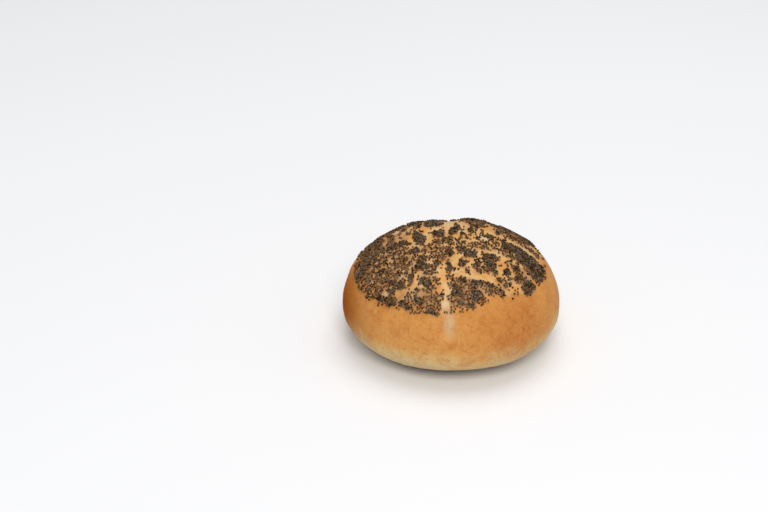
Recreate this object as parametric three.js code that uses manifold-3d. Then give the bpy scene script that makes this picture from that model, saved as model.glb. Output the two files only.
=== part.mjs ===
// A round bread roll with a coat of poppy seeds on its crown, as one closed solid.
// Millimetres, +Z up. The origin is the middle of the flat spot that the roll rests on,
// and a shallow seam runs over the crown from the front (-Y) to the back (+Y).
// The seeds are fused to the crust: close together in the thick islands, thinner between them,
// and none in the bare streaks, where the rising crust tore the coat apart.
import * as THREE from "three";
import { mergeVertices } from "three/addons/utils/BufferGeometryUtils.js";
import Module from "manifold-3d";

// Crust
const WIDTH = 100; // left to right, at the widest level
const DEPTH = 98; // front to back, at the widest level
const HEIGHT = 50.5;
const WIDEST_LEVEL = 18.5; // height of the widest level above the table
const UNDERSIDE_REACH = 20.5; // how far the underside would bulge below that level without the table
const PLAN_POWER = 2.1; // outline from above: 2 is an ellipse, more is fuller
const CROWN_POWER = 2.25; // outline from the side, above the widest level
const UNDERSIDE_POWER = 2.25; // outline from the side, below it
const CRUST_COLOUR = "#cf9450";

// Slow unevenness of the crust: how many waves round the roll, how high, and turned by how much
const SWELLS = [
  { waves: 1, height: 0.2, turn: 20 },
  { waves: 3, height: 0.4, turn: 170 },
  { waves: 5, height: 0.25, turn: 65 },
];
const SWELL_FADE = 20; // height below the top over which it dies away

// Seam: a shallow valley through the middle, from front to back
const SEAM_TURN = 4.5; // degrees that its front end is turned to the left
const SEAM_DEPTH = 0.5;
const SEAM_HALF_WIDTH = 3.6;
const SEAM_FADE = 15; // height above the widest level over which it grows
const PINCH_FROM_MIDDLE = -43; // the pinch where the seam runs out on the front
const PINCH_DEPTH = 0.6;
const PINCH_HALF_LENGTH = 7;

// Coat of seeds, in plan view
const COAT_X = -1;
const COAT_Y = 1;
const COAT_RADIUS = 43;
const COAT_WANDER = 1.1; // how far its edge strays in and out
const SEED_LENGTH = 1.08;
const SEED_WIDTH = 0.9;
const SEED_STAND = 0.65; // how far a seed stands out of the crust
const SEED_SINK = 0.15; // how deep its widest part lies
const SEED_VARIATION = 0.25; // largest less smallest, as a share of the size
const ISLAND_SPACING = 2.1; // between the middles of the seeds
const SPRINKLE_SPACING = 3.0;
const SEED_STRAY = 0.5; // how far a seed lies from its even place

// Thick islands: middle, half length, half width, and turn from +X in degrees
const ISLANDS = [
  { x: -16, y: 2, long: 8, wide: 2.8, turn: -70 },
  { x: -6.5, y: 4, long: 3.4, wide: 3, turn: 0 },
  { x: 1.2, y: 9, long: 5.6, wide: 2.1, turn: 75 },
  { x: -8, y: 19, long: 7.5, wide: 5, turn: 75 },
  { x: -14.5, y: -17.5, long: 4.2, wide: 3.2, turn: -35 },
  { x: -2.2, y: -12.5, long: 2.9, wide: 1.8, turn: 80 },
  { x: 6.2, y: -12, long: 5, wide: 2.4, turn: -35 },
  { x: 16, y: -16.5, long: 6.2, wide: 3.8, turn: 75 },
  { x: 11, y: -21, long: 2.8, wide: 2.2, turn: 0 },
  { x: 3.6, y: -19, long: 2.2, wide: 1.8, turn: 90 },
  { x: 23.5, y: -19, long: 2.2, wide: 1.3, turn: 90 },
  { x: 28.5, y: -3, long: 7, wide: 4, turn: -25 },
  { x: 37, y: -9, long: 7.5, wide: 4.2, turn: -55 },
  { x: 34, y: -23.5, long: 4, wide: 2.8, turn: 50 },
  { x: 20, y: -26, long: 2, wide: 1.4, turn: -20 },
  { x: 2, y: -31, long: 4.2, wide: 3.6, turn: 70 },
  { x: 12.5, y: -29.5, long: 5.2, wide: 1.8, turn: -5 },
  { x: 7, y: -37, long: 6, wide: 2.4, turn: 25 },
  { x: -13, y: -27.5, long: 3.6, wide: 2.2, turn: 30 },
  { x: -19, y: -23.5, long: 2.4, wide: 1.6, turn: 80 },
  { x: -25.5, y: -27, long: 4, wide: 2.6, turn: -35 },
  { x: -30.5, y: -31, long: 4.2, wide: 2.8, turn: -50 },
  { x: -16, y: -36.5, long: 9, wide: 3, turn: -25 },
  { x: -40, y: -7, long: 9, wide: 2.6, turn: 65 },
  { x: 9, y: 20, long: 8, wide: 2.8, turn: 80 },
  { x: 30, y: 19, long: 9, wide: 5, turn: -45 },
];

// Bare streaks: a line of points and its half width
const STREAKS = [
  { half: 1.9, line: [[2, 43], [1, 26], [-2, 13], [-10, 11], [-11, 3], [-11.5, -8]] },
  { half: 1.2, line: [[1.5, 26], [5, 14], [5, 5]] },
  { half: 1.1, line: [[-23, 16], [-21, 6], [-19, -4], [-13.5, -9]] },
  { half: 1.3, line: [[-18.5, -13], [-21, -24], [-26, -35]] },
  { half: 1.2, line: [[-22, -27.5], [-12, -31.5], [-6, -26]] },
  { half: 2.0, line: [[-5.5, -19], [-4.5, -30], [-4, -44]] },
  { half: 1.8, line: [[0.5, -17], [1.5, -24], [12, -26.5], [17, -27.5]] },
  { half: 1.6, line: [[10.5, -14], [7, -17], [6.5, -23]] },
  { half: 1.9, line: [[21, -10], [22, -17], [26, -24], [27, -36]] },
  { half: 0.8, line: [[24, -12], [30, -17], [35, -19], [40, -20]] },
  { half: 1.2, line: [[17, 12], [23, 7], [33, 3], [42, -3]] },
  { half: 2.2, line: [[18.5, 9], [19.5, 18]] },
];

// Mesh
const CRUST_PITCH = 5.2; // along and across the rings of points
const RANDOM_SEED = 20517;

const turn = (degrees) => (degrees * Math.PI) / 180;
const smooth = (t) => THREE.MathUtils.smoothstep(t, 0, 1);
const bell = (t) => Math.exp(-t * t);

// A small repeatable random draw from 0 to 1.
function makeRandom(seed) {
  let state = seed >>> 0;
  return () => {
    state = (Math.imul(state, 1664525) + 1013904223) >>> 0;
    return state / 4294967296;
  };
}

const CROWN_LATITUDE = Math.PI / 2;
const BASE_LATITUDE = -Math.asin((WIDEST_LEVEL / UNDERSIDE_REACH) ** (UNDERSIDE_POWER / 2));

// Half the roll's breadth at a heading, measured round from +X.
function reach(heading) {
  const across = Math.abs(Math.cos(heading) / (WIDTH / 2)) ** PLAN_POWER;
  const along = Math.abs(Math.sin(heading) / (DEPTH / 2)) ** PLAN_POWER;
  return (across + along) ** (-1 / PLAN_POWER);
}

function swell(heading, height) {
  const fade = smooth(height / WIDEST_LEVEL) * smooth((HEIGHT - height) / SWELL_FADE);
  let sum = 0;
  for (const s of SWELLS) sum += s.height * Math.cos(s.waves * (heading - turn(s.turn)));
  return fade * sum;
}

function seamDepth(x, y, height) {
  const across = x * Math.cos(turn(SEAM_TURN)) - y * Math.sin(turn(SEAM_TURN));
  const along = y * Math.cos(turn(SEAM_TURN)) + x * Math.sin(turn(SEAM_TURN));
  const pinch = PINCH_DEPTH * bell((along - PINCH_FROM_MIDDLE) / PINCH_HALF_LENGTH);
  const fade = smooth((height - WIDEST_LEVEL) / SEAM_FADE);
  return fade * (SEAM_DEPTH + pinch) * bell(across / SEAM_HALF_WIDTH);
}

// A point of the crust. Latitude runs from the base's edge through 0, the widest level,
// to a quarter turn at the crown.
function crust(latitude, heading) {
  const power = latitude > 0 ? CROWN_POWER : UNDERSIDE_POWER;
  const rise = latitude > 0 ? HEIGHT - WIDEST_LEVEL : -UNDERSIDE_REACH;
  const z = Math.max(0, WIDEST_LEVEL + rise * Math.sin(Math.abs(latitude)) ** (2 / power));
  const out = reach(heading) * Math.cos(latitude) ** (2 / power) + swell(heading, z);
  const x = out * Math.cos(heading);
  const y = out * Math.sin(heading);
  const valley = seamDepth(x, y, z);
  const inward = valley * Math.cos(latitude);
  return new THREE.Vector3(
    x - inward * Math.cos(heading),
    y - inward * Math.sin(heading),
    z - valley * Math.sin(Math.max(0, latitude)),
  );
}

// The crust's outward direction, from two short steps over it.
function outward(latitude, heading) {
  const step = 0.01;
  const here = crust(latitude, heading);
  const up = crust(latitude + step, heading).sub(here);
  const round = crust(latitude, heading + step).sub(here);
  return round.cross(up).normalize();
}

// The latitude on the crown above a place in plan view.
function latitudeAbove(x, y) {
  const share = Math.min(1, Math.hypot(x, y) / reach(Math.atan2(y, x)));
  return Math.acos(share ** (CROWN_POWER / 2));
}

function isInIsland(island, x, y) {
  const c = Math.cos(turn(island.turn));
  const s = Math.sin(turn(island.turn));
  const along = (x - island.x) * c + (y - island.y) * s;
  const across = (y - island.y) * c - (x - island.x) * s;
  return Math.hypot(along / island.long, across / island.wide) < 1;
}

function distanceToLine(line, x, y) {
  let nearest = Infinity;
  for (let i = 1; i < line.length; i++) {
    const [ax, ay] = line[i - 1];
    const [bx, by] = line[i];
    const share = ((x - ax) * (bx - ax) + (y - ay) * (by - ay)) / ((bx - ax) ** 2 + (by - ay) ** 2);
    const t = THREE.MathUtils.clamp(share, 0, 1);
    nearest = Math.min(nearest, Math.hypot(x - ax - t * (bx - ax), y - ay - t * (by - ay)));
  }
  return nearest;
}

// What covers the crust at a place: "island", "sprinkle" or "bare".
function cover(x, y) {
  const heading = Math.atan2(y - COAT_Y, x - COAT_X);
  const edge = COAT_RADIUS + COAT_WANDER * Math.sin(5 * heading) * Math.cos(2 * heading + 1);
  if (Math.hypot(x - COAT_X, y - COAT_Y) > edge) return "bare";
  if (ISLANDS.some((island) => isInIsland(island, x, y))) return "island";
  if (STREAKS.some((streak) => distanceToLine(streak.line, x, y) < streak.half)) return "bare";
  return "sprinkle";
}

// A ring of points round the roll, with one of them on the seam at the back and one at the front.
function crustRing(latitude) {
  const around = 2 * Math.PI * (WIDTH / 2) * Math.cos(latitude);
  const count = 2 * Math.max(3, Math.round(around / CRUST_PITCH / 2));
  const start = Math.PI / 2 - turn(SEAM_TURN);
  return Array.from({ length: count }, (_, i) => crust(latitude, start + (i * 2 * Math.PI) / count));
}

// The triangles between a ring and the next lower one, which may have another number of points.
function stitch(upper, lower) {
  const points = [];
  let i = 0;
  let j = 0;
  while (i < upper.length || j < lower.length) {
    const u = upper[i % upper.length];
    const l = lower[j % lower.length];
    const isUpperNext = (i + 0.5) * lower.length < (j + 0.5) * upper.length;
    if (isUpperNext) points.push(u, l, upper[++i % upper.length]);
    else points.push(u, l, lower[++j % lower.length]);
  }
  return points;
}

// The skin of the crust: rings from the crown down to the base, closed by a fan at each end.
function crustSkin() {
  const span = CROWN_LATITUDE - BASE_LATITUDE;
  const steps = Math.round((span * (WIDTH / 2 + HEIGHT / 2)) / 2 / CRUST_PITCH);
  const rings = [];
  for (let i = 1; i <= steps; i++) rings.push(crustRing(CROWN_LATITUDE - (span * i) / steps));
  const crown = crust(CROWN_LATITUDE, 0);
  const base = new THREE.Vector3(0, 0, 0);
  const points = [];
  rings[0].forEach((p, k, ring) => points.push(crown, p, ring[(k + 1) % ring.length]));
  for (let i = 1; i < steps; i++) points.push(...stitch(rings[i - 1], rings[i]));
  rings[steps - 1].forEach((p, k, ring) => points.push(p, base, ring[(k + 1) % ring.length]));
  return shared(new THREE.BufferGeometry().setFromPoints(points));
}

// A geometry's points and triangles alone, with each point held once.
function shared(geometry) {
  geometry.deleteAttribute("normal");
  geometry.deleteAttribute("uv");
  return mergeVertices(geometry, 1e-4);
}

const SEED_SHAPE = shared(new THREE.OctahedronGeometry(1, 0));

// One poppy seed: an octahedron as broad in area as a rounded seed, sunk into the crust
// and turned its own way.
function seedAt(x, y, random) {
  const heading = Math.atan2(y, x);
  const latitude = latitudeAbove(x, y);
  const normal = outward(latitude, heading);
  const middle = crust(latitude, heading).addScaledVector(normal, -SEED_SINK);
  const size = 1 + SEED_VARIATION * (random() - 0.5);
  const half = (size * Math.sqrt(Math.PI / 2)) / 2;
  const seed = SEED_SHAPE.clone();
  seed.scale(half * SEED_LENGTH, half * SEED_WIDTH, size * SEED_STAND + SEED_SINK);
  seed.rotateZ(random() * Math.PI);
  seed.applyQuaternion(new THREE.Quaternion().setFromUnitVectors(new THREE.Vector3(0, 0, 1), normal));
  seed.translate(middle.x, middle.y, middle.z);
  return seed;
}

// Even places over the crown: a spiral that turns by the golden angle from each to the next,
// and moves outwards as the area of crust inside it grows.
function evenPlaces(spacing) {
  const goldenAngle = Math.PI * (3 - Math.sqrt(5));
  const step = 0.05;
  const places = [];
  let area = 0;
  for (let out = step; out < COAT_RADIUS + COAT_WANDER; out += step) {
    const drop = crust(latitudeAbove(out - step, 0), 0).z - crust(latitudeAbove(out, 0), 0).z;
    area += 2 * Math.PI * out * Math.hypot(step, drop);
    while (area > (places.length + 0.5) * spacing ** 2) {
      const heading = places.length * goldenAngle;
      places.push([COAT_X + out * Math.cos(heading), COAT_Y + out * Math.sin(heading)]);
    }
  }
  return places;
}

// The seeds on one kind of cover, each near its even place.
function seedsOn(kind, spacing, random) {
  const stray = () => SEED_STRAY * (2 * random() - 1);
  return evenPlaces(spacing)
    .map(([x, y]) => [x + stray(), y + stray()])
    .filter(([x, y]) => cover(x, y) === kind)
    .map(([x, y]) => seedAt(x, y, random));
}

const wasm = await Module();
wasm.setup();

function toSolid(geometry) {
  return new wasm.Manifold(
    new wasm.Mesh({
      numProp: 3,
      vertProperties: geometry.attributes.position.array,
      triVerts: new Uint32Array(geometry.index.array),
    }),
  );
}

function toGeometry(solid) {
  const mesh = solid.getMesh();
  const geometry = new THREE.BufferGeometry();
  geometry.setAttribute("position", new THREE.BufferAttribute(mesh.vertProperties, 3));
  geometry.setIndex(new THREE.BufferAttribute(mesh.triVerts, 1));
  geometry.computeVertexNormals();
  return geometry;
}

function breadRoll() {
  const random = makeRandom(RANDOM_SEED);
  const seeds = [
    ...seedsOn("island", ISLAND_SPACING, random),
    ...seedsOn("sprinkle", SPRINKLE_SPACING, random),
  ];
  const solid = seeds.reduce((roll, seed) => roll.add(toSolid(seed)), toSolid(crustSkin()));
  const material = new THREE.MeshStandardMaterial({ color: CRUST_COLOUR, roughness: 0.75, metalness: 0 });
  const mesh = new THREE.Mesh(toGeometry(solid), material);
  mesh.name = "bread_roll";
  return mesh;
}

const group = new THREE.Group();
group.add(breadRoll());
export default group;
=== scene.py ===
import math
import random
from collections import namedtuple

import bmesh
import bpy
import numpy as np
from mathutils import Matrix, Vector, noise
from mathutils.bvhtree import BVHTree


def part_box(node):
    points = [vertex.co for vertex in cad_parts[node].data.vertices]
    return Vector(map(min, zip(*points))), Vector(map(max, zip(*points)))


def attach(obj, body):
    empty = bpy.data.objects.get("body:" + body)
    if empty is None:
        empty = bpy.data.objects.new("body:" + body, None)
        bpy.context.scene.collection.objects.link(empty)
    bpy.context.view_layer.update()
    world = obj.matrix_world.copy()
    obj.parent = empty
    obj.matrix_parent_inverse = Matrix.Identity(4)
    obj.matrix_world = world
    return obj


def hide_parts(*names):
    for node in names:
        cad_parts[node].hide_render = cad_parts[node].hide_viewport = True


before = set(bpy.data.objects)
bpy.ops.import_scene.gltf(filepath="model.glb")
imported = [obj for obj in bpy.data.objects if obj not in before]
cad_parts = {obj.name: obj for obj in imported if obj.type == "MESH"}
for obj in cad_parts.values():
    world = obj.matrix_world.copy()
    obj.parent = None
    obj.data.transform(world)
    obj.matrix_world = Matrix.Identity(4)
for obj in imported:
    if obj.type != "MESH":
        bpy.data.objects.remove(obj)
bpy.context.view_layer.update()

MM = 0.001

# Form of the roll
LOWEST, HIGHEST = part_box("bread_roll")
SEED_STAND = 0.55 * MM  # how far the seeds stand out of the solid's crown
WIDTH = HIGHEST.x - LOWEST.x
DEPTH = HIGHEST.y - LOWEST.y
HEIGHT = HIGHEST.z - SEED_STAND
WIDEST_LEVEL = 18.5 * MM
UNDERSIDE_REACH = 20.5 * MM  # how far the underside would bulge below that level without the table
PLAN_POWER = 2.1  # how full its outline is from above, where 2 is an ellipse
SIDE_POWER = 2.25  # the same from the side

# Slow swells of its outline from above
Swell = namedtuple("Swell", "waves height turn")
SWELLS = (
    Swell(waves=1, height=0.2 * MM, turn=20),
    Swell(waves=3, height=0.4 * MM, turn=170),
    Swell(waves=5, height=0.25 * MM, turn=65),
)

# Soft dents and bulges of the baked dough: where, how far and how widely it is moved, in millimetres
Push = namedtuple("Push", "place move width")
PUSHES = (
    Push((-30, 26, 38), (0.6, -0.5, -0.9), 24),
    Push((-4, 32, 42), (0, -0.4, -1), 12),
    Push((28, 25, 40), (-0.3, -0.3, -0.8), 13),
    Push((8, -38, 2), (0, 2.2, 0), 24),
    Push((-50, -5, 18), (-0.7, 0, 0), 20),
    Push((44, -16, 6), (0.9, -0.3, 0), 13),
)

# Rings and meridians of the ball of dough that the roll is shaped from
MERIDIANS = 80  # one every 4.5 degrees, so that one of them lies on the seam
CROWN_RINGS = 24
UNDERSIDE_RINGS = 16
BASE_RINGS = 8
RINGS = CROWN_RINGS + UNDERSIDE_RINGS + BASE_RINGS
BASE_LATITUDE = math.asin((WIDEST_LEVEL / UNDERSIDE_REACH) ** (SIDE_POWER / 2))
SKIN_GRAIN = 0.6 * MM  # size of the faces of the finished crust

# Seam and pinch
SEAM_TURN = math.radians(4.5)  # its front end lies to the left of the middle
SEAM_DEPTH = 0.5 * MM
SEAM_WIDTH = 7 * MM
SEAM_LEVEL = WIDEST_LEVEL + 12 * MM  # it runs over the crown above this level
PINCH = Vector((-3.6 * MM, -44 * MM, 0))
PINCH_DEPTH = 0.9 * MM
PINCH_WIDTH = 6 * MM

# The crust's own unevenness, from slow dents down to fine pitting, in millimetres
Relief = namedtuple("Relief", "name size detail height")
RELIEFS = (
    Relief("dents", 16, 1, 0.7),
    Relief("ripples", 4.5, 2, 0.3),
    Relief("pitting", 1.4, 1, 0.12),
)
FOOT_HEIGHT = 4  # up to this level it fades in

# Coat of seeds, seen from above, in millimetres and degrees
Patch = namedtuple("Patch", "x y long wide turn")  # an ellipse by its middle, half axes and turn
Streak = namedtuple("Streak", "half line")  # half its width, and the line that it runs along
COAT_X, COAT_Y = -1, 1  # its middle
COAT_EDGE = (  # headings from there and how far the coat reaches at each
    (-180, 43.5),
    (-165, 44),
    (-148, 45.2),
    (-130, 44.4),
    (-116, 43.6),
    (-98, 43.1),
    (-89, 42.9),
    (-77, 42.2),
    (-63, 40.3),
    (-56, 41.8),
    (-40, 44.3),
    (-26, 43.8),
    (-15, 44.8),
    (0, 44),
    (22, 42.8),
    (60, 43.5),
    (120, 43.5),
    (180, 43.5),
)
COAT_HEADINGS, COAT_REACHES = zip(*COAT_EDGE)
COAT_FADE = 4  # how far its colours fade in from the edge
COAT_LOWEST, COAT_FULL = 24, 30  # levels between which they fade in too

# Islands, where the seeds lie on top of each other
ISLANDS = (
    # Back of the crown
    Patch(-8, 20.8, 6.1, 4.4, 85),
    Patch(-16.6, 24, 4, 2.2, 60),
    Patch(-14.6, 19, 3.2, 1.2, 80),
    Patch(-21.6, 17, 2.4, 1.4, 80),
    Patch(11.4, 27.4, 6, 2.6, -10),
    Patch(27.4, 26, 9, 1.9, -48),
    Patch(35, 17.4, 5, 1.6, -60),
    Patch(-30.6, 24.6, 4.4, 2.6, 55),
    Patch(-25, 29.6, 4.2, 2.4, 25),
    Patch(-34, 18, 3, 1.6, 70),
    Patch(-18.4, 31, 2.6, 1.8, -20),
    # Middle of the crown
    Patch(-14.9, 3.6, 7.4, 2.4, -76),
    Patch(-5.8, 6.4, 3.2, 2.6, -20),
    Patch(-3.6, 2.6, 1.7, 1.1, 0),
    Patch(0.8, 10.8, 4.8, 2.1, 76),
    Patch(3, 13.8, 3, 1.2, 85),
    Patch(3.2, 1, 1.9, 0.9, 10),
    Patch(-7, 0.2, 2.6, 0.9, -5),
    Patch(8.9, 5.8, 1.2, 0.9, 0),
    Patch(4.8, 6.8, 1.6, 1.2, 0),
    Patch(8.8, 11, 2.4, 1.4, 80),
    Patch(17.6, 5.4, 2.2, 1.6, 0),
    # Left of the crown
    Patch(-23, 2, 2.6, 1.5, 70),
    Patch(-27, 0.6, 3, 1.4, 70),
    Patch(-32, -16, 2.6, 1.5, 80),
    Patch(-40.4, -7.6, 6.6, 2.3, 62),
    Patch(-38.2, -2.6, 3.4, 1.6, 60),
    # Right of the crown
    Patch(21.4, 12, 2.2, 1.2, 90),
    Patch(25.6, -12.2, 1.2, 1, 0),
    Patch(23.1, 3.7, 1.8, 1.4, 0),
    Patch(25, -2, 5.2, 2.2, -80),
    Patch(30.4, -2.6, 6, 3.6, -35),
    Patch(35.4, -7, 6.4, 4.8, -45),
    Patch(37.6, -12.6, 5, 3.2, 75),
    Patch(39.6, -7.4, 3.4, 2.8, 70),
    Patch(31.4, -8, 4, 2.6, -40),
    Patch(28.5, -15.6, 2.2, 1.6, 30),
    # Front of the crown, left of the seam
    Patch(-16.8, -6.8, 2.8, 1.6, 70),
    Patch(-14.4, -14.6, 3.4, 1.8, 90),
    Patch(-13.6, -18.6, 1.9, 4, 85),
    Patch(-19, -24.2, 2.9, 1.5, 80),
    Patch(-12.5, -22.8, 1.8, 1.2, 90),
    Patch(-14.6, -26.6, 2.2, 1.2, 40),
    Patch(-11.8, -28.8, 2.3, 2.2, 80),
    Patch(-8.3, -18, 1.8, 1.3, 90),
    Patch(-1.8, -8.6, 4.6, 1.7, -80),
    Patch(-2.1, -19.8, 4, 1.2, 90),
    # Front of the crown, right of the seam
    Patch(14.4, -13.6, 2, 1.4, 0),
    Patch(6, -23.4, 1.1, 0.7, 0),
    Patch(8, -11.2, 3.3, 2.8, 0),
    Patch(3.8, -7.6, 3.6, 1.8, -55),
    Patch(3.9, -17.6, 3, 1.6, -75),
    Patch(16.4, -11.8, 3.5, 2.5, 0),
    Patch(16.8, -18, 3.9, 2.5, 88),
    Patch(11.4, -17.4, 2.1, 1.7, 90),
    Patch(11.2, -21.8, 2, 1.5, 90),
    Patch(20.6, -16.1, 0.9, 0.7, 0),
    Patch(19, -21.1, 1.3, 0.9, 0),
    Patch(23.7, -19.4, 2.5, 1.5, 85),
    Patch(29.8, -20, 2.2, 1.4, -70),
    Patch(3.9, -27.6, 2.2, 2, 0),
    Patch(-1, -27.8, 1.7, 0.9, 90),
    Patch(10.6, -28.8, 3.2, 1.3, 10),
    # Front edge of the coat, left of the seam
    Patch(-5.3, -35.2, 1.8, 0.9, 90),
    Patch(-20.6, -36.6, 2.6, 1, -25),
    Patch(-23.3, -27.2, 1.7, 1.5, 90),
    Patch(-26.7, -24.7, 3, 1.9, -50),
    Patch(-29, -31, 3.6, 1.9, -45),
    Patch(-32.6, -28.2, 2.2, 1.3, -45),
    Patch(-27.2, -28, 1.8, 1.1, 0),
    Patch(-23.3, -34.2, 2.6, 1.2, -20),
    Patch(-15.4, -35.6, 3.4, 1.4, -15),
    Patch(-10.2, -40.5, 4, 1.3, -10),
    # Front edge of the coat, right of the seam
    Patch(25, -23, 1, 0.8, 0),
    Patch(33.6, -23.6, 4.2, 3, 55),
    Patch(20.2, -25, 1.8, 1.2, 20),
    Patch(22.4, -27.6, 1.1, 0.7, 0),
    Patch(24.7, -26.4, 1.5, 0.8, 70),
    Patch(0.8, -33, 3.3, 2.6, 80),
    Patch(16, -29.3, 2.1, 1.6, 0),
    Patch(20.6, -31.8, 2, 1.4, 0),
    Patch(9.3, -34.9, 2.8, 2, 75),
    Patch(7.2, -39.6, 2.5, 1.3, 10),
    Patch(3, -38.4, 2.6, 1, -10),
)

# Thin places, with few seeds
THIN = (
    Patch(-5.2, -25, 10, 2.2, 90),
    Patch(28.6, -28.6, 5, 4, 40),
    Patch(23.5, -33, 4, 3, 0),
    Patch(42, 6, 12, 3, -75),
    Patch(13.5, -37.5, 3, 1.6, 30),
    Patch(-22, 19, 5, 3, 20),
)

# Bare streaks, where the rising crust tore the coat apart
STREAKS = (
    # Back of the crown
    Streak(1.2, ((-23, 14.4), (-18, 14.4), (-13, 13.4))),
    Streak(1.0, ((-11.9, 15), (-11.9, 22))),
    Streak(1.0, ((-18.2, 15), (-18.2, 22))),
    Streak(2.5, ((-2, 14), (-0.9, 20), (0.4, 26))),
    Streak(1.9, ((0.4, 26), (-0.6, 34), (-0.8, 44))),
    Streak(2.1, ((2.6, 26), (4.8, 22.6), (6.2, 16))),
    Streak(2.2, ((17.8, 11.8), (19, 17), (19.8, 20.6))),
    Streak(0.9, ((24, 22), (28, 17), (31, 12))),
    # Middle of the crown
    Streak(1.7, ((-11.2, 15), (-11, 8), (-10.8, -1))),
    Streak(1.1, ((-20.2, 4.6), (-18, 2), (-16.2, -2), (-14.1, -5.4))),
    Streak(1.9, ((-12.4, 13.2), (-7.2, 12.6), (-2.4, 13.4))),
    Streak(1.5, ((-2.4, 13), (-1.9, 7), (-2.4, 5.2))),
    Streak(0.8, ((-2, 7.6), (0, 5.8), (2.4, 3.8))),
    Streak(0.7, ((6.8, 7.6), (7.4, 3.6))),
    Streak(0.7, ((12.4, 9.6), (12.8, 13.6))),
    Streak(1.1, ((6, 16), (5.7, 12), (6.6, 7.6))),
    Streak(1.0, ((-10, 2.4), (-7.5, 2.2), (-4.4, 3))),
    Streak(1.0, ((4.2, 9.8), (2.6, 6.4), (1.6, 5.4))),
    Streak(0.9, ((6.8, 7.6), (9, 7.4), (12.6, 8.4))),
    Streak(1.1, ((14.6, 15), (16.4, 12), (19, 10))),
    # Left of the crown
    Streak(1.4, ((-22.4, 16), (-21.8, 8.4), (-20.2, 4.6))),
    Streak(1.0, ((-32, 22), (-30, 12), (-31, 5))),
    Streak(1.0, ((-27, 18), (-25.4, 10), (-25, 4))),
    # Right of the crown
    Streak(0.9, ((21, -8.4), (22, -10.4), (22, -14), (21.4, -20.6))),
    Streak(0.8, ((27.4, -11), (27.4, -12.8), (30.6, -14), (34, -18), (39, -19.6))),
    Streak(1.3, ((20, 9.4), (24, 7.4), (28, 5.4), (32.4, 3.2), (36, 1.6), (40, -1.4), (43.4, -4.4))),
    # Front of the crown, left of the seam
    Streak(0.8, ((-8.6, -3), (-4.6, -3.6), (-1.4, -3.6))),
    Streak(0.4, ((-8.8, -5), (-8.4, -11.7), (-8.6, -15))),
    Streak(0.8, ((-4.6, -17.6), (-4.4, -20), (-4.6, -24))),
    Streak(1.3, ((-4.8, -24), (-4.8, -28), (-3.8, -33))),
    Streak(0.3, ((-18.6, -9), (-16.8, -13), (-19, -18.6), (-20, -21))),
    Streak(0.5, ((-16.6, -21.8), (-10.4, -21.2))),
    # Front of the crown, right of the seam
    Streak(0.8, ((10, -7), (14, -7.4), (19.4, -6.8))),
    Streak(0.6, ((5.6, -2), (8, -3.4))),
    Streak(0.5, ((1.1, 2), (1.2, -3.8), (1.4, -9))),
    Streak(0.9, ((0.6, -12), (0.6, -19))),
    Streak(1.0, ((3, -11.6), (3, -12.8), (1.4, -15), (1.6, -20.6))),
    Streak(0.9, ((12.3, -8), (12, -12), (9, -14.4), (7, -15.4))),
    Streak(0.5, ((7, -14), (7.1, -18), (7.4, -22.6))),
    Streak(1.2, ((3, -24.2), (6, -24.8), (10, -25.2), (15, -26), (18.4, -24.4), (21.4, -22.4))),
    # Front edge of the coat, left of the seam
    Streak(0.7, ((-3.8, -33), (-4.2, -38))),
    Streak(1.7, ((-4.2, -38), (-3.4, -46))),
    Streak(0.7, ((-20.6, -23), (-21.3, -25.5), (-22.6, -30))),
    Streak(1.3, ((-21.5, -30.4), (-24.2, -31.8), (-26.8, -36))),
    Streak(0.7, ((-17.2, -21.4), (-17.4, -29), (-20, -30.4))),
    # Front edge of the coat, right of the seam
    Streak(0.7, ((17.6, -27.8), (21, -29.8))),
    Streak(1.4, ((21.4, -21), (23.6, -23.6), (26, -24))),
    Streak(1.1, ((23, -29.4), (25.4, -29.4), (24.6, -34), (24.4, -38))),
)

# Dense places, where the net of small tears is fine
DENSE = (
    Patch(11, 21, 9, 5, 90),
    Patch(28, 15, 14, 7, -50),
    Patch(-1, 1, 4, 2.4, -20),
    Patch(-34, -6, 27, 13, 78),
    Patch(-23, -21, 4, 3, 0),
    Patch(24, -6, 4, 3, 0),
    Patch(-12, -22.6, 4, 2.4, 20),
    Patch(-19.6, -14, 7, 3.4, 75),
    Patch(-7, -7, 8, 3, 90),
    Patch(-4.2, -14, 4.6, 2.4, 85),
    Patch(-9, -25.4, 3, 2, 60),
    Patch(-11, -6, 4, 4, 0),
    Patch(33, -18, 7, 4.5, 60),
    Patch(13, -4, 7, 4.5, -10),
    Patch(-17.4, -36.6, 11, 6.6, -15),
    Patch(5.4, -35, 7.6, 8.5, 0),
    Patch(25, -26, 5, 3.5, 50),
    Patch(16.5, -31, 8, 3.2, -8),
)
DENSE_EASE, THIN_EASE, TEAR_EASE = 3, 2, 0.7  # how softly each kind of place begins

# Net of small tears between the streaks
TEAR_CELL = 4.2  # size of the places between them
TEAR_HALF, DENSE_TEAR_HALF = 0.42, 0.1  # half their width, in the open coat and in a dense place
TEAR_UNEVENNESS, UNEVENNESS_SIZE = 0.8, 5  # some are wider than others
TEAR_DEPTH = 0.28  # how far tears and streaks sink into the crust
DENSE_TEAR_FILL = 0.7  # how much of its depth and colour a tear loses in a dense place

# How the outlines wander: the size of the noise and how far it moves them
RAGGED_SIZE, RAGGED_REACH = 2.5, 0.8  # the edge of the coat
WANDER_SIZE, WANDER_REACH = 4.5, 0.8  # the outlines in it, slowly
JAG_SIZE, JAG_REACH = 1.5, 0.5  # their finer jags
NOISE_SEED = 11  # gives the same noise on every run

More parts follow.
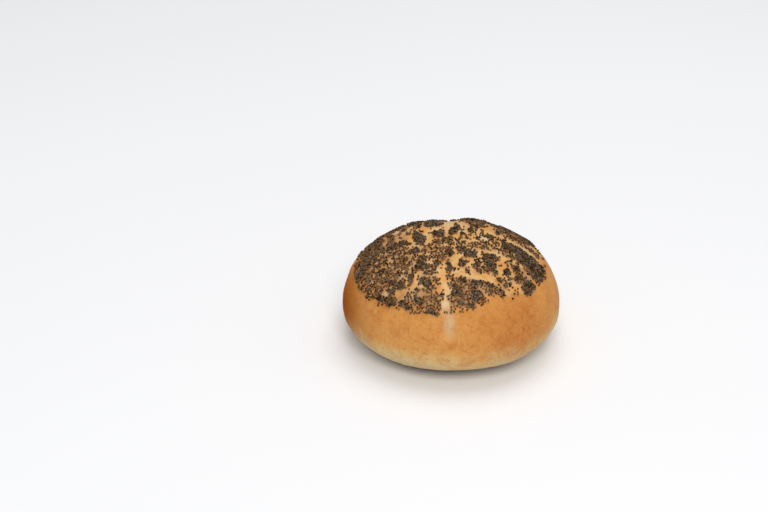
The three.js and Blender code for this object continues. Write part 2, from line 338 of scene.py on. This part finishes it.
# Seeds
SEED_LENGTH = 1.16 * MM
SEED_WIDTH = 0.98 * MM
SEED_THICKNESS = 0.85 * MM
SEED_SINK = 0.1 * MM
SEED_TIPPING = 0.22  # usual slope of a seed against the crust
SEED_UNEVENNESS = 0.2  # share by which the largest is longer than the smallest
SEED_DISTANCE = 0.86 * MM  # least distance between the middles of two seeds on an island
OPEN_DISTANCE = 0.9 * MM  # the same between the islands
SEED_DARTS = 260000  # how often a seed is thrown at the crown
DARTS_SEED = 20517  # gives the same throws on every run
COAT_SHARE = 0.97  # share of the places between the islands that hold their seed
THIN_SHARE = 0.62  # the same for the thin places
STRAY_SHARE = 0.04  # the same for the bare streaks
ISLAND_INSET = 0.15  # how far the middles of an island's seeds keep from its edge, in millimetres
PILED_INSET = 0.3  # the same for its second layer
SECOND_LAYER = 0.48 * MM  # how much higher the second layer lies
SeedKind = namedtuple("SeedKind", "name on_islands between dark light")
SEED_KINDS = (
    SeedKind("slate_seeds", 0.45, 0.14, (36, 27, 19), (144, 129, 112)),
    SeedKind("umber_seeds", 0.33, 0.28, (46, 28, 10), (138, 109, 80)),
    SeedKind("brown_seeds", 0.17, 0.40, (62, 35, 8), (153, 115, 77)),
    SeedKind("rust_seeds", 0.05, 0.18, (86, 46, 10), (174, 126, 78)),
)

# Camera, as the photograph was taken
PHOTO_WIDTH, PHOTO_HEIGHT = 768, 512
ROLL_PIXEL = (451.4, 287.9)  # where the middle of the roll lies in the picture
CAMERA_LENS, CAMERA_SENSOR = 85, 36
CAMERA_DISTANCE = 0.84
CAMERA_ELEVATION = math.radians(30)

# Light
LAMP_COLOUR = (1, 0.975, 0.94)
ROOM_COLOUR = (0.94, 0.99, 1.06, 1)
ROOM_STRENGTH = 0.4


# Ways to work on any piece


def deselect_all():
    if bpy.context.mode != "OBJECT":
        bpy.ops.object.mode_set(mode="OBJECT")
    bpy.ops.object.select_all(action="DESELECT")


def activate(piece):
    deselect_all()
    piece.select_set(True)
    bpy.context.view_layer.objects.active = piece


def pick(piece, wanted):
    """In edit mode, selects the vertices that pass the test and nothing else."""
    mesh = bmesh.from_edit_mesh(piece.data)
    for vertex in mesh.verts:
        vertex.select = wanted(vertex)
    mesh.select_flush_mode()
    bmesh.update_edit_mesh(piece.data)


def apply_modifier(piece, name, kind, **settings):
    activate(piece)
    modifier = piece.modifiers.new(name, kind)
    for key, value in settings.items():
        setattr(modifier, key, value)
    bpy.ops.object.modifier_apply(modifier=name)


def smoothstep(values):
    """Eases values from 0 to 1 at both ends."""
    values = np.clip(values, 0, 1)
    return values * values * (3 - 2 * values)


# Crust


def ring_breadth_and_level(number):
    """Half the breadth of a ring of the roll and its height. Ring 0 is the crown's middle."""
    share = 2 / SIDE_POWER
    if number <= CROWN_RINGS:
        latitude = math.pi / 2 * (1 - number / CROWN_RINGS)
        rise = HEIGHT - WIDEST_LEVEL
        return WIDTH / 2 * math.cos(latitude) ** share, WIDEST_LEVEL + rise * math.sin(latitude) ** share
    if number <= CROWN_RINGS + UNDERSIDE_RINGS:
        latitude = BASE_LATITUDE * (number - CROWN_RINGS) / UNDERSIDE_RINGS
        level = WIDEST_LEVEL - UNDERSIDE_REACH * math.sin(latitude) ** share
        return WIDTH / 2 * math.cos(latitude) ** share, max(0, level)
    base = WIDTH / 2 * math.cos(BASE_LATITUDE) ** share
    return base * (RINGS - number) / BASE_RINGS, 0


def reach(heading):
    """Half the roll's breadth at a heading, measured round from +X."""
    across = abs(math.cos(heading) / (WIDTH / 2)) ** PLAN_POWER
    along = abs(math.sin(heading) / (DEPTH / 2)) ** PLAN_POWER
    swell = sum(s.height * math.cos(s.waves * (heading - math.radians(s.turn))) for s in SWELLS)
    return (across + along) ** (-1 / PLAN_POWER) + swell


def draw_rings(dough):
    """Each ring of the ball is drawn out to the roll's breadth and moved to its level."""
    ball = WIDTH / 2
    heights = {v.index: v.co.z for v in dough.data.vertices}
    bpy.ops.object.mode_set(mode="EDIT")
    for number in range(RINGS + 1):
        old_level = ball * math.cos(math.pi * number / RINGS)
        old_breadth = ball * math.sin(math.pi * number / RINGS)
        breadth, level = ring_breadth_and_level(number)
        pick(dough, lambda v: abs(heights[v.index] - old_level) < MM / 10)
        bpy.ops.transform.translate(value=(0, 0, level - old_level))
        if 0 < number < RINGS:
            stretch = breadth / old_breadth
            bpy.ops.transform.resize(value=(stretch, stretch, 1), center_override=(0, 0, 0))
    bpy.ops.object.mode_set(mode="OBJECT")


def draw_meridians(dough):
    """Each meridian is drawn out to the roll's reach at its heading."""
    places = {v.index: (v.co.x, v.co.y) for v in dough.data.vertices}
    headings = {i: math.atan2(y, x) for i, (x, y) in places.items() if math.hypot(x, y) > MM / 10}
    step = 2 * math.pi / MERIDIANS
    numbers = {i: round(heading / step) % MERIDIANS for i, heading in headings.items()}
    bpy.ops.object.mode_set(mode="EDIT")
    for number in range(MERIDIANS):
        stretch = reach(number * step) / (WIDTH / 2)
        pick(dough, lambda v: numbers.get(v.index) == number)
        bpy.ops.transform.resize(value=(stretch, stretch, 1), center_override=(0, 0, 0))
    bpy.ops.object.mode_set(mode="OBJECT")


def press(dough, wanted, move, width):
    """Moves the picked place of the dough, and softly what lies around it."""
    activate(dough)
    bpy.ops.object.mode_set(mode="EDIT")
    pick(dough, wanted)
    bpy.ops.transform.translate(
        value=move,
        use_proportional_edit=True,
        proportional_edit_falloff="SMOOTH",
        proportional_size=width,
    )
    bpy.ops.object.mode_set(mode="OBJECT")


def push_dents(dough):
    for push in PUSHES:
        place = Vector(push.place) * MM
        press(dough, lambda v: (v.co - place).length < 3 * MM, Vector(push.move) * MM, push.width * MM)


def seam_across(place):
    """How far a place lies to the right of the seam."""
    return place.x * math.cos(SEAM_TURN) - place.y * math.sin(SEAM_TURN)


def crease_seam(dough):
    """Presses in the seam and then the pinch at its front end."""
    press(
        dough,
        lambda v: abs(seam_across(v.co)) < 0.2 * MM and v.co.z > SEAM_LEVEL,
        (0, 0, -SEAM_DEPTH),
        SEAM_WIDTH,
    )
    press(
        dough,
        lambda v: (v.co.xy - PINCH.xy).length < 2.5 * MM and v.co.z > WIDEST_LEVEL,
        (0, PINCH_DEPTH * 0.8, -PINCH_DEPTH * 0.6),
        PINCH_WIDTH,
    )


def baked_crust():
    deselect_all()
    bpy.ops.mesh.primitive_uv_sphere_add(segments=MERIDIANS, ring_count=RINGS, radius=WIDTH / 2)
    crust = bpy.context.active_object
    crust.name = "crust"
    draw_rings(crust)
    draw_meridians(crust)
    push_dents(crust)
    apply_modifier(crust, "rounding", "SUBSURF", levels=1, render_levels=1)
    crease_seam(crust)
    apply_modifier(
        crust,
        "even skin",
        "REMESH",
        mode="VOXEL",
        voxel_size=SKIN_GRAIN,
        use_smooth_shade=True,
    )
    apply_modifier(crust, "relax", "SMOOTH", factor=0.5, iterations=4)
    return crust


# Coat of seeds, in millimetres

Coat = namedtuple("Coat", "inside bare island thin dense")


def wandering(x, y, size, span, layer):
    """Moves each place by one layer of a slow noise, so that outlines wander."""
    moved = np.array([noise.noise_vector(Vector((a / size, b / size, layer))) for a, b in zip(x, y)])
    return x + span * moved[:, 0], y + span * moved[:, 1]


def depth_in(patches, x, y):
    """How far inside the nearest patch each place lies; below zero outside all of them."""
    depth = np.full(x.shape, -99.0)
    for patch in patches:
        c = math.cos(math.radians(patch.turn))
        s = math.sin(math.radians(patch.turn))
        along = ((x - patch.x) * c + (y - patch.y) * s) / patch.long
        across = ((y - patch.y) * c - (x - patch.x) * s) / patch.wide
        depth = np.maximum(depth, (1 - np.hypot(along, across)) * min(patch.long, patch.wide))
    return depth


def depth_in_streaks(x, y):
    """How far inside the nearest streak each place lies."""
    depth = np.full(x.shape, -99.0)
    for streak in STREAKS:
        for (ax, ay), (bx, by) in zip(streak.line, streak.line[1:]):
            share = ((x - ax) * (bx - ax) + (y - ay) * (by - ay)) / ((bx - ax) ** 2 + (by - ay) ** 2)
            share = np.clip(share, 0, 1)
            distance = np.hypot(x - ax - share * (bx - ax), y - ay - share * (by - ay))
            depth = np.maximum(depth, streak.half - distance)
    return depth


def depth_in_tears(x, y):
    """How far inside the net of small tears each place lies. It runs between cells of about one size."""
    borders = []
    widths = []
    for a, b in zip(x, y):
        distances = noise.voronoi(Vector((a / TEAR_CELL, b / TEAR_CELL, 0)))[0]
        borders.append((distances[1] - distances[0]) * TEAR_CELL / 2)
        widths.append(noise.noise(Vector((a / UNEVENNESS_SIZE, b / UNEVENNESS_SIZE, 11))))
    dense = smoothstep(depth_in(DENSE, x, y) / DENSE_EASE + 0.5)
    half = TEAR_HALF + (DENSE_TEAR_HALF - TEAR_HALF) * dense
    return half * (1 + TEAR_UNEVENNESS * np.array(widths)) - np.array(borders)


def coat_at(x, y):
    """At each place, in millimetres: how deep it lies inside the coat and each kind of place in it."""
    ragged_x, ragged_y = wandering(x, y, RAGGED_SIZE, RAGGED_REACH, 7)
    heading = np.degrees(np.arctan2(ragged_y - COAT_Y, ragged_x - COAT_X))
    coat_reach = np.interp(heading, COAT_HEADINGS, COAT_REACHES)
    inside = coat_reach - np.hypot(ragged_x - COAT_X, ragged_y - COAT_Y)
    slow_x, slow_y = wandering(x, y, WANDER_SIZE, WANDER_REACH, 0)
    x, y = wandering(slow_x, slow_y, JAG_SIZE, JAG_REACH, 3)
    island = depth_in(ISLANDS, x, y) - ISLAND_INSET
    bare = np.maximum(depth_in_streaks(x, y), depth_in_tears(x, y))
    bare = np.minimum(bare, -island)
    return Coat(inside, bare, island, depth_in(THIN, x, y), depth_in(DENSE, x, y))


def set_attribute(piece, name, values):
    attribute = piece.data.attributes.new(name, "FLOAT", "POINT")
    attribute.data.foreach_set("value", values.astype(np.float32))


def set_group(piece, name, values):
    group = piece.vertex_groups.new(name=name)
    for index, value in enumerate(values):
        if value > 0:
            group.add([index], float(value), "REPLACE")


def vertex_places(piece):
    places = np.zeros(len(piece.data.vertices) * 3)
    piece.data.vertices.foreach_get("co", places)
    return places.reshape(-1, 3)


def mark_coat(crust):
    """Records on the crust where the coat lies and where it is torn, for its relief and its colours."""
    places = vertex_places(crust) / MM
    level = places[:, 2]
    found = coat_at(places[:, 0], places[:, 1])
    high_enough = smoothstep((level - COAT_LOWEST) / (COAT_FULL - COAT_LOWEST))
    coat = smoothstep(found.inside / COAT_FADE) * high_enough
    dense = smoothstep(found.dense / DENSE_EASE + 0.5)
    torn = smoothstep((found.bare + TEAR_EASE / 2) / TEAR_EASE) * coat * (1 - DENSE_TEAR_FILL * dense)
    set_attribute(crust, "coat", coat)
    set_attribute(crust, "torn", torn)
    set_attribute(crust, "thin", smoothstep(found.thin / THIN_EASE + 0.5) * coat)
    set_group(crust, "torn", torn)
    set_group(crust, "free", smoothstep(level / FOOT_HEIGHT))


def roughen(crust):
    """Gives the crust its relief and sinks the tears. Its foot stays level."""
    for relief in RELIEFS:
        clouds = bpy.data.textures.new(relief.name, "CLOUDS")
        clouds.noise_scale = relief.size * MM
        clouds.noise_depth = relief.detail
        apply_modifier(
            crust,
            relief.name,
            "DISPLACE",
            texture=clouds,
            strength=relief.height * MM,
            mid_level=0.5,
            vertex_group="free",
        )
    sink = -TEAR_DEPTH * MM
    apply_modifier(crust, "tears", "DISPLACE", strength=sink, mid_level=0, vertex_group="torn")
    crust.vertex_groups.clear()
    activate(crust)
    bpy.ops.object.shade_smooth()


# Seeds


def seed_form():
    """One kidney-shaped seed: its points and faces."""
    deselect_all()
    bpy.ops.mesh.primitive_uv_sphere_add(segments=8, ring_count=5, radius=0.5)
    seed = bpy.context.active_object
    bpy.ops.object.mode_set(mode="EDIT")
    pick(seed, lambda v: v.co.y > 0.3 and abs(v.co.z) < 0.3)
    bpy.ops.transform.translate(value=(0, -0.12, 0))
    pick(seed, lambda v: abs(v.co.x) > 0.3)
    bpy.ops.transform.translate(value=(0, 0.05, 0))
    bpy.ops.mesh.select_all(action="SELECT")
    bpy.ops.transform.resize(value=(SEED_LENGTH, SEED_WIDTH, SEED_THICKNESS), center_override=(0, 0, 0))
    bpy.ops.object.mode_set(mode="OBJECT")
    points = vertex_places(seed)
    faces = [tuple(face.vertices) for face in seed.data.polygons]
    bpy.data.objects.remove(seed)
    return points, faces


def finds_room(place, taken, distance):
    """Whether no seed lies nearer to the place than the distance; if so, the place is taken."""
    cell = tuple(int(c // OPEN_DISTANCE) for c in place)
    for dx in (-1, 0, 1):
        for dy in (-1, 0, 1):
            for dz in (-1, 0, 1):
                for other in taken.get((cell[0] + dx, cell[1] + dy, cell[2] + dz), ()):
                    if (other - place).length < distance:
                        return False
    taken.setdefault(cell, []).append(place)
    return True


def plain_place(x, y):
    """The place on the roll's plain form, without its dents, over a place in plan."""
    out = min(0.99, math.hypot(x, y) / reach(math.atan2(y, x)))
    rise = (1 - out ** SIDE_POWER) ** (1 / SIDE_POWER)
    return Vector((x, y, WIDEST_LEVEL + (HEIGHT - WIDEST_LEVEL) * rise))


def seeds_with_room(draw):
    """Throws seeds at the crown and keeps those that find room: (number, x, y, layer, on an island)."""
    spread = max(COAT_REACHES) + 1
    x = np.array([COAT_X + spread * (2 * draw.random() - 1) for _ in range(SEED_DARTS)])
    y = np.array([COAT_Y + spread * (2 * draw.random() - 1) for _ in range(SEED_DARTS)])
    near = np.hypot(x - COAT_X, y - COAT_Y) < spread
    x, y = x[near], y[near]
    luck = [draw.random() for _ in x]
    found = coat_at(x, y)
    island = found.island
    kept = []
    first, second = {}, {}  # the seeds of each layer, by the cell they lie in
    for i in np.nonzero(found.inside > 0)[0]:
        share, distance = COAT_SHARE, OPEN_DISTANCE
        if island[i] > 0:
            share, distance = 1, SEED_DISTANCE
        elif found.bare[i] > 0:
            share = STRAY_SHARE
        elif found.thin[i] > 0:
            share = THIN_SHARE
        place = plain_place(x[i] * MM, y[i] * MM)
        if finds_room(place, first, distance):
            if luck[i] < share:
                kept.append((int(i), place.x, place.y, 0, island[i] > 0))
        elif island[i] > PILED_INSET and finds_room(place, second, SEED_DISTANCE):
            kept.append((int(i), place.x, place.y, 1, True))
    return kept


def laid_seed(place, normal, draw):
    """The matrix, place and shade of one seed, which is turned and tipped its own way."""
    tip = Vector((draw.gauss(0, SEED_TIPPING), draw.gauss(0, SEED_TIPPING), 1))
    lay = normal.to_track_quat("Z", "Y").to_matrix() @ tip.to_track_quat("Z", "Y").to_matrix()
    lay = lay @ Matrix.Rotation(draw.random() * 2 * math.pi, 3, "Z")
    size = 1 + SEED_UNEVENNESS * (draw.random() - 0.5)
    lift = SEED_THICKNESS / 2 - SEED_SINK
    return np.array(lay) * size, np.array(place + normal * lift), draw.random()


def sown_seeds(name, laid, form):
    """Joins all seeds of one kind into one piece, each with its own shade."""
    points, faces = form
    moved = np.concatenate([points @ turn.T + place for turn, place, _ in laid])
    joined = [tuple(v + i * len(points) for v in face) for i in range(len(laid)) for face in faces]
    mesh = bpy.data.meshes.new(name)
    mesh.from_pydata(moved.tolist(), [], joined)
    mesh.update()
    piece = bpy.data.objects.new(name, mesh)
    bpy.context.scene.collection.objects.link(piece)
    set_attribute(piece, "shade", np.repeat([shade for _, _, shade in laid], len(points)))
    activate(piece)
    bpy.ops.object.shade_smooth()
    return piece


def sow(crust):
    """Lays the seeds on the crust, each with a draw of its own, and joins them by their kinds."""
    form = seed_form()
    skin = BVHTree.FromObject(crust, bpy.context.evaluated_depsgraph_get())
    laid = {kind: [] for kind in SEED_KINDS}
    for number, x, y, layer, on_island in seeds_with_room(random.Random(DARTS_SEED)):
        draw = random.Random(number)
        weights = [kind.on_islands if on_island else kind.between for kind in SEED_KINDS]
        kind = draw.choices(SEED_KINDS, weights=weights)[0]
        place, normal, _, _ = skin.ray_cast(Vector((x, y, 2 * HEIGHT)), Vector((0, 0, -1)))
        laid[kind].append(laid_seed(place + layer * SECOND_LAYER * normal, normal, draw))
    return [(kind, sown_seeds(kind.name, seeds, form)) for kind, seeds in laid.items()]


# Materials

FOOT_TO_CROWN_COLOURS = (
    (0.0, (186, 168, 130)),
    (0.2, (204, 188, 146)),
    (0.39, (208, 173, 114)),
    (0.54, (208, 147, 78)),
    (1.0, (205, 138, 68)),
)
# Crust between the seeds: its darker browns are partly browned crust and partly painted shade between
# the seeds
UNDER_COAT_COLOURS = (
    (0.3, (150, 104, 62)),
    (0.5, (174, 128, 86)),
    (0.7, (196, 156, 116)),
)
TEAR_COLOURS = (
    (0.3, (218, 148, 76)),
    (0.45, (221, 165, 98)),
    (0.58, (223, 180, 122)),
    (0.72, (230, 200, 158)),
)
FLOOR_COLOURS = (
    (0.3, (247, 247, 248)),
    (0.7, (249, 249, 250)),
)


def srgb(red, green, blue):
    """A colour given from 0 to 255, as the renderer takes it."""
    channels = [c / 255 for c in (red, green, blue)]
    return tuple(c / 12.92 if c <= 0.04045 else ((c + 0.055) / 1.055) ** 2.4 for c in channels) + (1,)


class Finish:
    """A material and short ways to add its nodes."""

    MIX_A, MIX_B, MIXED = 6, 7, 2  # a Mix node's sockets for colours

    def __init__(self, name):
        self.material = bpy.data.materials.new(name)
        self.material.use_nodes = True
        self.nodes = self.material.node_tree.nodes
        self.links = self.material.node_tree.links
        self.shader = self.nodes["Principled BSDF"]
        self.place = self.nodes.new("ShaderNodeTexCoord").outputs["Object"]

    def join(self, value, socket):
        """Sets a socket to a plain value, or links another node's outlet to it."""
        if isinstance(value, (int, float, tuple)):
            socket.default_value = value
        else:
            self.links.new(value, socket)

    def drawn_out(self, direction, times):
        """Places for a grain whose specks are drawn out along a direction."""
        node = self.nodes.new("ShaderNodeMapping")
        node.vector_type = "TEXTURE"
        self.join(self.place, node.inputs["Vector"])
        node.inputs["Rotation"].default_value = Vector(direction).to_track_quat("X", "Z").to_euler()
        node.inputs["Scale"].default_value = (times, 1, 1)
        return node.outputs["Vector"]

    def grain(self, size, detail=2.0, roughness=0.5, distortion=0.0, place=None):
        node = self.nodes.new("ShaderNodeTexNoise")
        self.join(place or self.place, node.inputs["Vector"])
        node.inputs["Scale"].default_value = 1 / size
        node.inputs["Detail"].default_value = detail
        node.inputs["Roughness"].default_value = roughness
        node.inputs["Distortion"].default_value = distortion
        return node.outputs["Fac"]

    def cells(self, size):
        node = self.nodes.new("ShaderNodeTexVoronoi")
        self.join(self.place, node.inputs["Vector"])
        node.inputs["Scale"].default_value = 1 / size
        return node.outputs["Distance"]

    def attribute(self, name):
        node = self.nodes.new("ShaderNodeAttribute")
        node.attribute_name = name
        return node.outputs["Fac"]

    def level(self):
        node = self.nodes.new("ShaderNodeSeparateXYZ")
        self.join(self.place, node.inputs[0])
        return node.outputs["Z"]

    def spread(self, value, low, high, to_low=0.0, to_high=1.0):
        """Maps a range of a value to another, eased at both ends."""
        node = self.nodes.new("ShaderNodeMapRange")
        node.interpolation_type = "SMOOTHSTEP"
        self.join(value, node.inputs["Value"])
        ends = {"From Min": low, "From Max": high, "To Min": to_low, "To Max": to_high}
        for socket, number in ends.items():
            node.inputs[socket].default_value = number
        return node.outputs["Result"]

    def maths(self, operation, a, b):
        node = self.nodes.new("ShaderNodeMath")
        node.operation = operation
        self.join(a, node.inputs[0])
        self.join(b, node.inputs[1])
        return node.outputs[0]

    def spot(self, middle, radii):
        """1 in the middle of a soft round spot and 0 outside it. Both are in millimetres."""
        offset = self.nodes.new("ShaderNodeVectorMath")
        offset.operation = "SUBTRACT"
        self.join(self.place, offset.inputs[0])
        self.join(tuple(c * MM for c in middle), offset.inputs[1])
        scaled = self.nodes.new("ShaderNodeVectorMath")
        scaled.operation = "DIVIDE"
        self.join(offset.outputs[0], scaled.inputs[0])
        self.join(tuple(c * MM for c in radii), scaled.inputs[1])
        length = self.nodes.new("ShaderNodeVectorMath")
        length.operation = "LENGTH"
        self.join(scaled.outputs[0], length.inputs[0])
        return self.spread(length.outputs["Value"], 1, 0)

    def ramp(self, value, stops):
        """Colours along a value. The stops are places from 0 to 1 with their colours."""
        node = self.nodes.new("ShaderNodeValToRGB")
        self.join(value, node.inputs["Fac"])
        elements = node.color_ramp.elements
        while len(elements) < len(stops):
            elements.new(0.5)
        for element, (position, colour) in zip(elements, stops):
            element.position = position
            element.color = srgb(*colour)
        return node.outputs["Color"]

    def mix(self, share, a, b, strength=1.0):
        """Colour a, and colour b where the share is 1 and at full strength."""
        node = self.nodes.new("ShaderNodeMix")
        node.data_type = "RGBA"
        if strength != 1:
            share = self.maths("MULTIPLY", share, strength)
        self.join(share, node.inputs["Factor"])
        self.join(a, node.inputs[self.MIX_A])
        self.join(b, node.inputs[self.MIX_B])
        return node.outputs[self.MIXED]

    def bump(self, height, distance, strength=1.0, below=None):
        node = self.nodes.new("ShaderNodeBump")
        self.join(height, node.inputs["Height"])
        node.inputs["Distance"].default_value = distance
        node.inputs["Strength"].default_value = strength
        if below is not None:
            self.join(below, node.inputs["Normal"])
        return node.outputs["Normal"]

    def finish(self, colour, roughness, normal, specular):
        self.join(colour, self.shader.inputs["Base Color"])
        self.join(roughness, self.shader.inputs["Roughness"])
        self.join(normal, self.shader.inputs["Normal"])
        self.join(specular, self.shader.inputs["Specular IOR Level"])
        return self.material


def bare_crust_colour(f, drift, mottle, browned_and_shaded_flank):
    """The crust below the coat: pale at the foot and golden above, browner at the flanks. The left
    flank's darkening is partly a darker bake and partly painted shade. The dark underside is partly a
    browned bottom and partly painted contact shade.
    """
    level = f.maths("ADD", f.level(), f.maths("MULTIPLY", f.maths("SUBTRACT", drift, 0.5), 14 * MM))
    dry = f.spread(level, 6 * MM, 16 * MM)
    blotches = f.spread(f.grain(7 * MM, detail=4, roughness=0.6, distortion=0.6), 0.42, 0.7)
    flecks = f.spread(f.grain(1.1 * MM, detail=3, roughness=0.6), 0.5, 0.72)
    specks = f.spread(f.grain(1.6 * MM, detail=3, roughness=0.7), 0.56, 0.72)
    ripples = f.spread(f.grain(1.1 * MM, detail=3, place=f.drawn_out((0.6, -0.3, -0.75), 4)), 0.45, 0.65)
    right_flank = f.spot((28, -38, 26), (32, 26, 24))
    pinch = f.maths("MULTIPLY", f.spot((-2.4, -45, 34), (4.4, 10, 10.5)), f.spread(mottle, -0.8, 0.6))
    # Darker towards the floor below 5 mm: partly a browned bottom, partly painted contact shade under
    # the roll
    underside = f.spread(f.level(), 5 * MM, 2 * MM)
    colour = f.ramp(f.spread(level, 0, 40 * MM), FOOT_TO_CROWN_COLOURS)
    colour = f.mix(f.maths("MULTIPLY", blotches, dry), colour, srgb(178, 94, 32), 0.5)
    colour = f.mix(mottle, colour, srgb(212, 156, 88), 0.35)
    colour = f.mix(flecks, colour, srgb(222, 178, 116), 0.3)
    colour = f.mix(f.maths("MULTIPLY", specks, dry), colour, srgb(156, 84, 32), 0.5)
    colour = f.mix(right_flank, colour, srgb(176, 92, 30), 0.42)
    colour = f.mix(f.maths("MULTIPLY", ripples, right_flank), colour, srgb(158, 86, 34), 0.35)
    # Left flank darker brown: partly a darker bake, partly painted shade
    colour = f.mix(browned_and_shaded_flank, colour, srgb(152, 74, 10))
    colour = f.mix(pinch, colour, srgb(208, 178, 136), 0.8)
    return f.mix(underside, colour, srgb(104, 72, 40))


def coat_colours(f):
    """The crust under the seeds and in the tears, which are paler at the back and at the pinch."""
    # Under the seeds the crust is darker, partly browned and partly painted shade between them
    under_coat = f.ramp(f.grain(5 * MM, detail=3), UNDER_COAT_COLOURS)
    tear = f.ramp(f.grain(6 * MM, detail=3), TEAR_COLOURS)
    tear = f.mix(f.spot((2, 22, 42), (16, 20, 16)), tear, srgb(226, 190, 142), 0.8)
    tear = f.mix(f.spot((-3.6, -38, 42), (6, 10, 10)), tear, srgb(220, 186, 140), 0.8)
    under_coat = f.mix(f.attribute("thin"), under_coat, tear)
    under_coat = f.mix(f.spot((12, 4, 46), (28, 28, 20)), under_coat, tear, 0.7)
    tear = f.mix(f.spot((23.6, -24, 38), (5, 5, 8)), tear, srgb(226, 126, 44), 0.8)
    return under_coat, tear


def crust_finish():
    f = Finish("golden crust")
    drift = f.grain(16 * MM, detail=3)
    mottle = f.spread(f.grain(2.6 * MM, detail=4, roughness=0.7), 0.35, 0.65)
    # Left flank: darker partly from a darker bake and partly from painted shade. The crust's sheen is
    # lowered there too.
    left_flank = f.spot((-54, -10, 23), (28, 42, 26))
    browned_and_shaded_flank = f.maths("MULTIPLY", left_flank, f.spread(drift, 0.1, 0.55, 0.5, 1))
    under_coat, tear = coat_colours(f)
    colour = f.mix(f.attribute("coat"), bare_crust_colour(f, drift, mottle, browned_and_shaded_flank), under_coat)
    colour = f.mix(f.attribute("torn"), colour, tear)
    normal = f.bump(f.grain(2.2 * MM, detail=3), 0.25 * MM, 0.5)
    normal = f.bump(f.grain(0.55 * MM, detail=4, roughness=0.65), 0.12 * MM, 0.6, below=normal)
    roughness = f.spread(mottle, 0, 1, 0.6, 0.72)
    return f.finish(colour, roughness, normal, specular=f.spread(browned_and_shaded_flank, 0, 0.6, 0.12, 0.01))


def seed_finish(kind):
    f = Finish(kind.name.replace("_seeds", " seed skin"))
    shade = f.ramp(f.attribute("shade"), ((0.0, kind.dark), (1.0, kind.light)))
    net = f.spread(f.cells(0.17 * MM), 0.0, 0.6)
    colour = f.mix(net, shade, srgb(*kind.dark), 0.35)
    normal = f.bump(net, 0.03 * MM, 0.6)
    return f.finish(colour, 0.5, normal, specular=0.05)


def floor_finish():
    f = Finish("pale floor")
    colour = f.ramp(f.grain(0.6, detail=1), FLOOR_COLOURS)
    return f.finish(colour, 0.9, f.bump(f.grain(2 * MM), 0.01 * MM, 0.1), specular=0.1)


def dress(piece, material):
    piece.data.materials.clear()
    piece.data.materials.append(material)


# Studio


def place_camera():
    """Looks at the roll from the front and above, with it a little right of the picture's middle."""
    back = Vector((0, -math.cos(CAMERA_ELEVATION), math.sin(CAMERA_ELEVATION)))
    upward = Vector((0, math.sin(CAMERA_ELEVATION), math.cos(CAMERA_ELEVATION)))
    pixels = CAMERA_LENS / CAMERA_SENSOR * PHOTO_WIDTH
    right = (ROLL_PIXEL[0] - PHOTO_WIDTH / 2) / pixels * CAMERA_DISTANCE
    up = (PHOTO_HEIGHT / 2 - ROLL_PIXEL[1]) / pixels * CAMERA_DISTANCE
    middle = Vector((0, 0, HEIGHT / 2))
    location = middle + back * CAMERA_DISTANCE - upward * up - Vector((right, 0, 0))
    bpy.ops.object.camera_add(location=location, rotation=(math.pi / 2 - CAMERA_ELEVATION, 0, 0))
    camera = bpy.context.active_object
    camera.data.lens = CAMERA_LENS
    camera.data.sensor_width = CAMERA_SENSOR
    bpy.context.scene.camera = camera


def soft_light(name, location, size, power):
    bpy.ops.object.light_add(type="AREA", location=location)
    light = bpy.context.active_object
    light.name = name
    light.data.color = LAMP_COLOUR
    light.data.shape = "DISK"
    light.data.size = size
    light.data.energy = power
    light.rotation_euler = (-Vector(location)).to_track_quat("-Z", "Y").to_euler()


def studio():
    deselect_all()
    bpy.ops.mesh.primitive_plane_add(size=8)
    floor = bpy.context.active_object
    floor.name = "floor"
    dress(floor, floor_finish())
    soft_light("top light", (0.1, 0.2, 1.2), size=1, power=5.6)
    soft_light("front light", (0.1, -1.5, 1.5), size=1.1, power=22)
    world = bpy.data.worlds.new("studio")
    world.use_nodes = True
    background = world.node_tree.nodes["Background"]
    background.inputs["Color"].default_value = ROOM_COLOUR
    background.inputs["Strength"].default_value = ROOM_STRENGTH
    bpy.context.scene.world = world
    bpy.context.scene.view_settings.view_transform = "Standard"


# The roll and its studio

noise.seed_set(NOISE_SEED)
crust = baked_crust()
mark_coat(crust)
roughen(crust)
dress(crust, crust_finish())
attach(crust, "root")
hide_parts("bread_roll")
for kind, seeds in sow(crust):
    dress(seeds, seed_finish(kind))
    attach(seeds, "root")
place_camera()
studio()
deselect_all()
